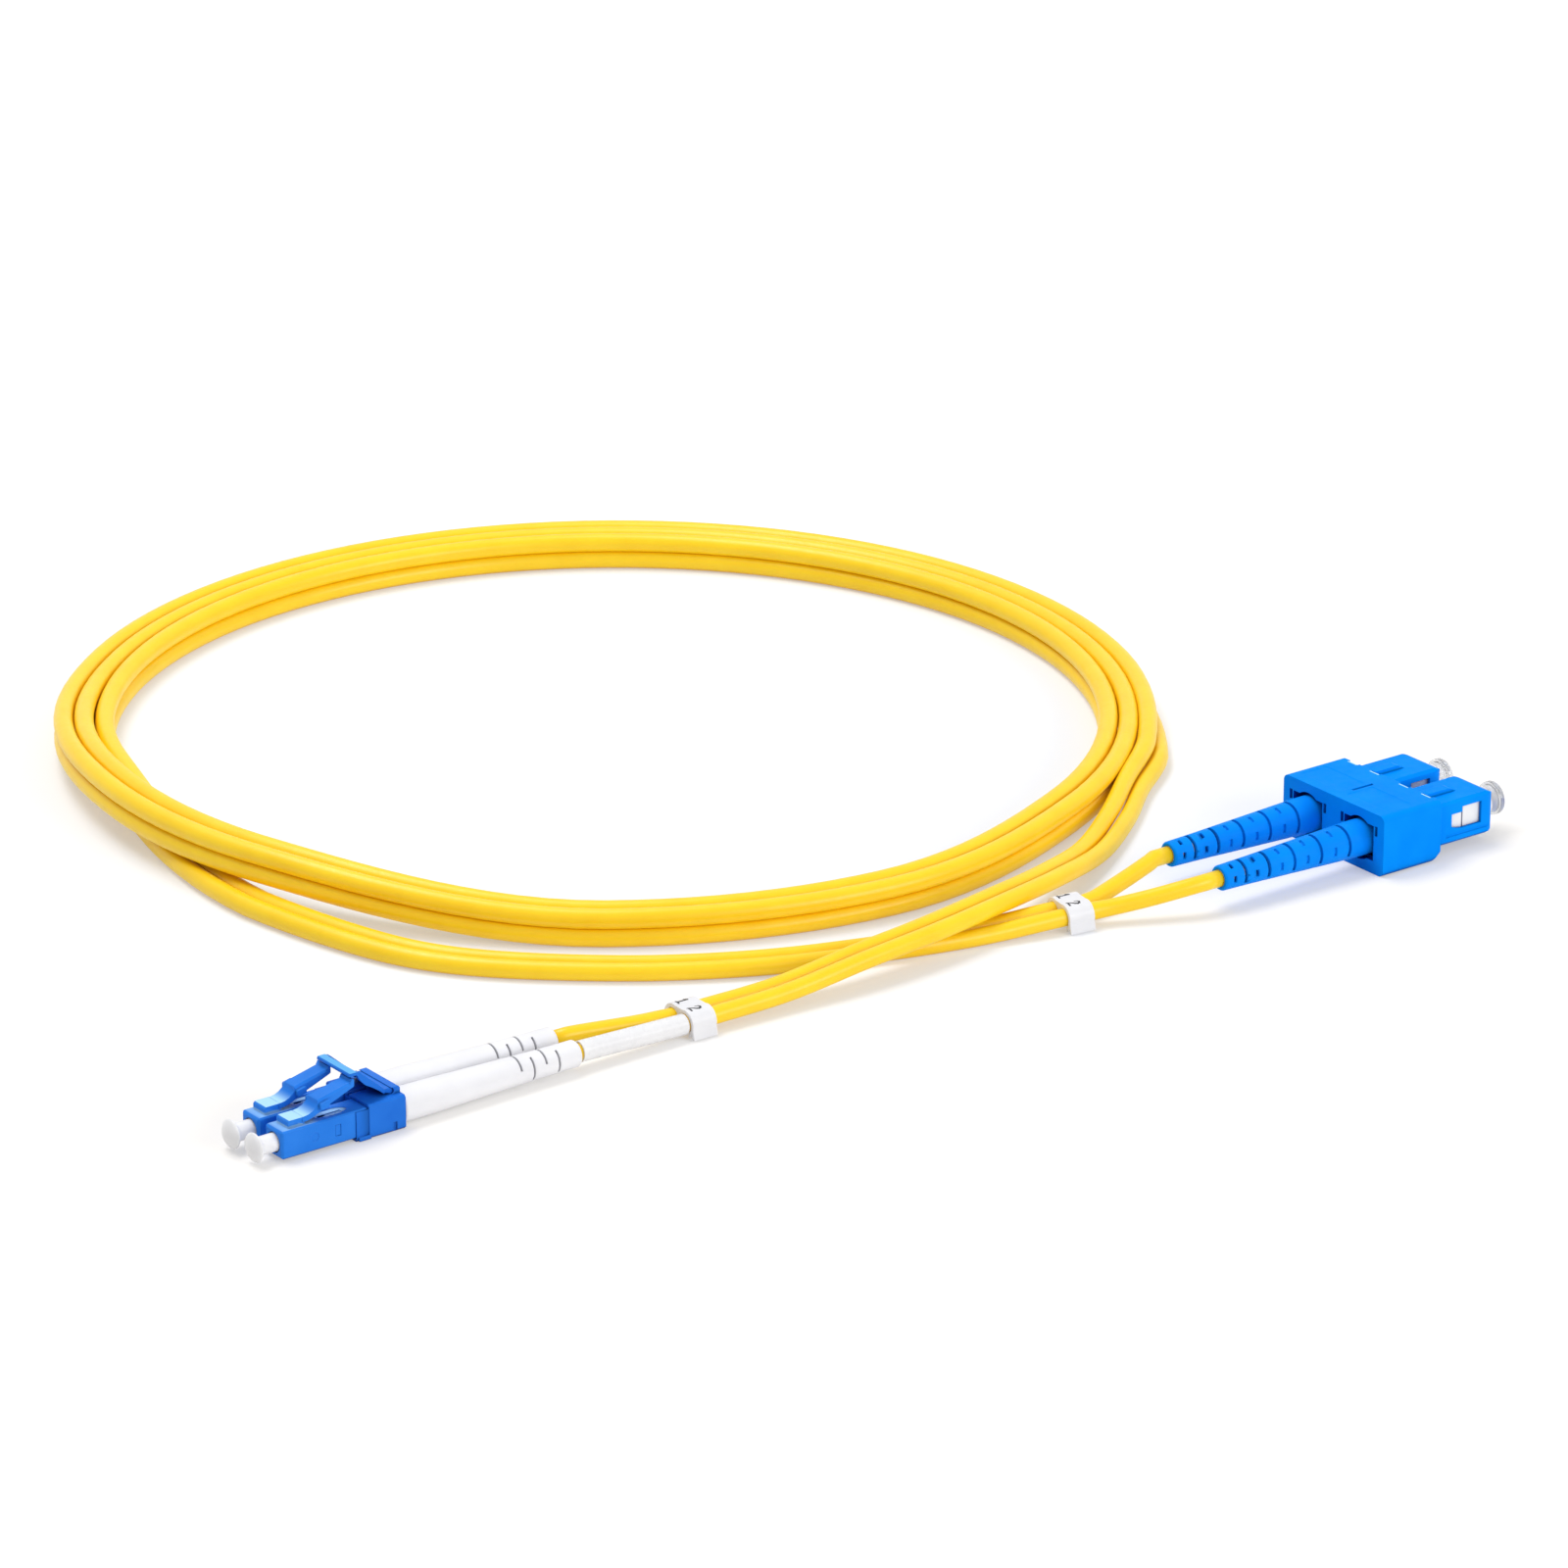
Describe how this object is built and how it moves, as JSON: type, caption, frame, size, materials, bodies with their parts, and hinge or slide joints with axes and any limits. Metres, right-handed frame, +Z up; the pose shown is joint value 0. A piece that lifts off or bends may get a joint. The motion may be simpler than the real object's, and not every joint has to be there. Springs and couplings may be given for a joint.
{
  "type": "duplex fibre optic patch cord",
  "caption": "Duplex fibre patch cord: coiled yellow zip cord with a latched LC pair at one end and a clipped SC pair at the other.",
  "frame": {"origin": "centre of the connector row's footprint on the floor: half way between the LC and SC dust caps, under the middle of the SC pair", "axes": "+X along the connectors from the LC noses to the SC noses, +Y towards the coil, +Z up"},
  "size_m": [0.2378, 0.2189, 0.0107],
  "materials": {
    "lc_blue": "satin moulded nylon",
    "sc_blue": "satin moulded plastic",
    "white_plastic": "satin",
    "clear_plastic": "clear soft plastic",
    "jacket_yellow": "matte extruded jacket",
    "ceramic": "ground and polished zirconia",
    "plated_metal": "nickel plated"
  },
  "bodies": {
    "patch_cord": {"lc_housing_a": "lc_blue", "lc_housing_b": "lc_blue", "lc_duplex_clip": "lc_blue", "lc_spring_a": "plated_metal", "lc_spring_b": "plated_metal", "lc_stop_body_a": "lc_blue", "lc_stop_body_b": "lc_blue", "lc_crimp_sleeve_a": "plated_metal", "lc_crimp_sleeve_b": "plated_metal", "lc_buffer_a": "white_plastic", "lc_buffer_b": "white_plastic", "lc_jacket_a": "jacket_yellow", "lc_jacket_b": "jacket_yellow", "lc_boot_a": "white_plastic", "lc_boot_b": "white_plastic", "sc_plug_frame_a": "white_plastic", "sc_plug_frame_b": "white_plastic", "sc_spring_a": "plated_metal", "sc_spring_b": "plated_metal", "sc_stop_body_a": "plated_metal", "sc_stop_body_b": "plated_metal", "sc_crimp_sleeve_a": "plated_metal", "sc_crimp_sleeve_b": "plated_metal", "sc_buffer_a": "white_plastic", "sc_buffer_b": "white_plastic", "sc_jacket_a": "jacket_yellow", "sc_jacket_b": "jacket_yellow", "sc_boot_a": "sc_blue", "sc_boot_b": "sc_blue", "coil_a": "jacket_yellow", "coil_b": "jacket_yellow", "lc_lead_a": "jacket_yellow", "lc_lead_b": "jacket_yellow", "sc_lead_a": "jacket_yellow", "sc_lead_b": "jacket_yellow", "lc_marker_clip": "white_plastic", "sc_marker_clip": "white_plastic", "lc_label_sleeve": "white_plastic"},
    "latch_a": {"lc_latch_a": "lc_blue"},
    "latch_b": {"lc_latch_b": "lc_blue"},
    "trigger": {"lc_trigger": "lc_blue"},
    "lc_cap_a": {"lc_dust_cap_a": "white_plastic"},
    "lc_cap_b": {"lc_dust_cap_b": "white_plastic"},
    "sc_cap_a": {"sc_dust_cap_a": "clear_plastic"},
    "sc_cap_b": {"sc_dust_cap_b": "clear_plastic"},
    "lc_core_a": {"lc_ferrule_a": "ceramic", "lc_flange_a": "plated_metal"},
    "lc_core_b": {"lc_ferrule_b": "ceramic", "lc_flange_b": "plated_metal"},
    "sc_core_a": {"sc_ferrule_a": "ceramic", "sc_flange_a": "plated_metal"},
    "sc_core_b": {"sc_ferrule_b": "ceramic", "sc_flange_b": "plated_metal"},
    "sc_grip": {"sc_shell_a": "sc_blue", "sc_shell_b": "sc_blue", "sc_duplex_clip": "sc_blue"}
  },
  "joints": [
    {"name": "latch_a_press", "type": "hinge", "parent": "patch_cord", "child": "latch_a", "pos_m": [-0.1099, 0.00953, 0.00576], "axis": [0, 1, 0], "range_deg": [0, 9]},
    {"name": "latch_b_press", "type": "hinge", "parent": "patch_cord", "child": "latch_b", "pos_m": [-0.1099, 0.00328, 0.00576], "axis": [0, 1, 0], "range_deg": [0, 9]},
    {"name": "trigger_press", "type": "hinge", "parent": "patch_cord", "child": "trigger", "pos_m": [-0.0941, 0.0064, 0.006], "axis": [0, -1, 0], "range_deg": [0, 9], "stiffness_Nm_per_rad": 0.1},
    {"name": "lc_cap_a_pull", "type": "slide", "parent": "patch_cord", "child": "lc_cap_a", "axis": [-1, 0, 0], "range_m": [0, 0.012]},
    {"name": "sc_cap_a_pull", "type": "slide", "parent": "patch_cord", "child": "sc_cap_a", "axis": [1, 0, 0], "range_m": [0, 0.012]},
    {"name": "lc_cap_b_pull", "type": "slide", "parent": "patch_cord", "child": "lc_cap_b", "axis": [-1, 0, 0], "range_m": [0, 0.012]},
    {"name": "sc_cap_b_pull", "type": "slide", "parent": "patch_cord", "child": "sc_cap_b", "axis": [1, 0, 0], "range_m": [0, 0.012]},
    {"name": "lc_core_a_push", "type": "slide", "parent": "patch_cord", "child": "lc_core_a", "axis": [1, 0, 0], "range_m": [0, 0.0008], "stiffness_N_per_m": 500, "deforming": ["lc_spring_a"]},
    {"name": "sc_core_a_push", "type": "slide", "parent": "patch_cord", "child": "sc_core_a", "axis": [-1, 0, 0], "range_m": [0, 0.001], "stiffness_N_per_m": 500, "deforming": ["sc_spring_a"]},
    {"name": "lc_core_b_push", "type": "slide", "parent": "patch_cord", "child": "lc_core_b", "axis": [1, 0, 0], "range_m": [0, 0.0008], "stiffness_N_per_m": 500, "deforming": ["lc_spring_b"]},
    {"name": "sc_core_b_push", "type": "slide", "parent": "patch_cord", "child": "sc_core_b", "axis": [-1, 0, 0], "range_m": [0, 0.001], "stiffness_N_per_m": 500, "deforming": ["sc_spring_b"]},
    {"name": "sc_grip_pull", "type": "slide", "parent": "patch_cord", "child": "sc_grip", "axis": [-1, 0, 0], "range_m": [0, 0.002]}
  ],
  "couplings": [
    {"joint": "latch_a_press", "follows": "trigger_press", "ratio": 0.8},
    {"joint": "latch_b_press", "follows": "trigger_press", "ratio": 0.8}
  ]
}
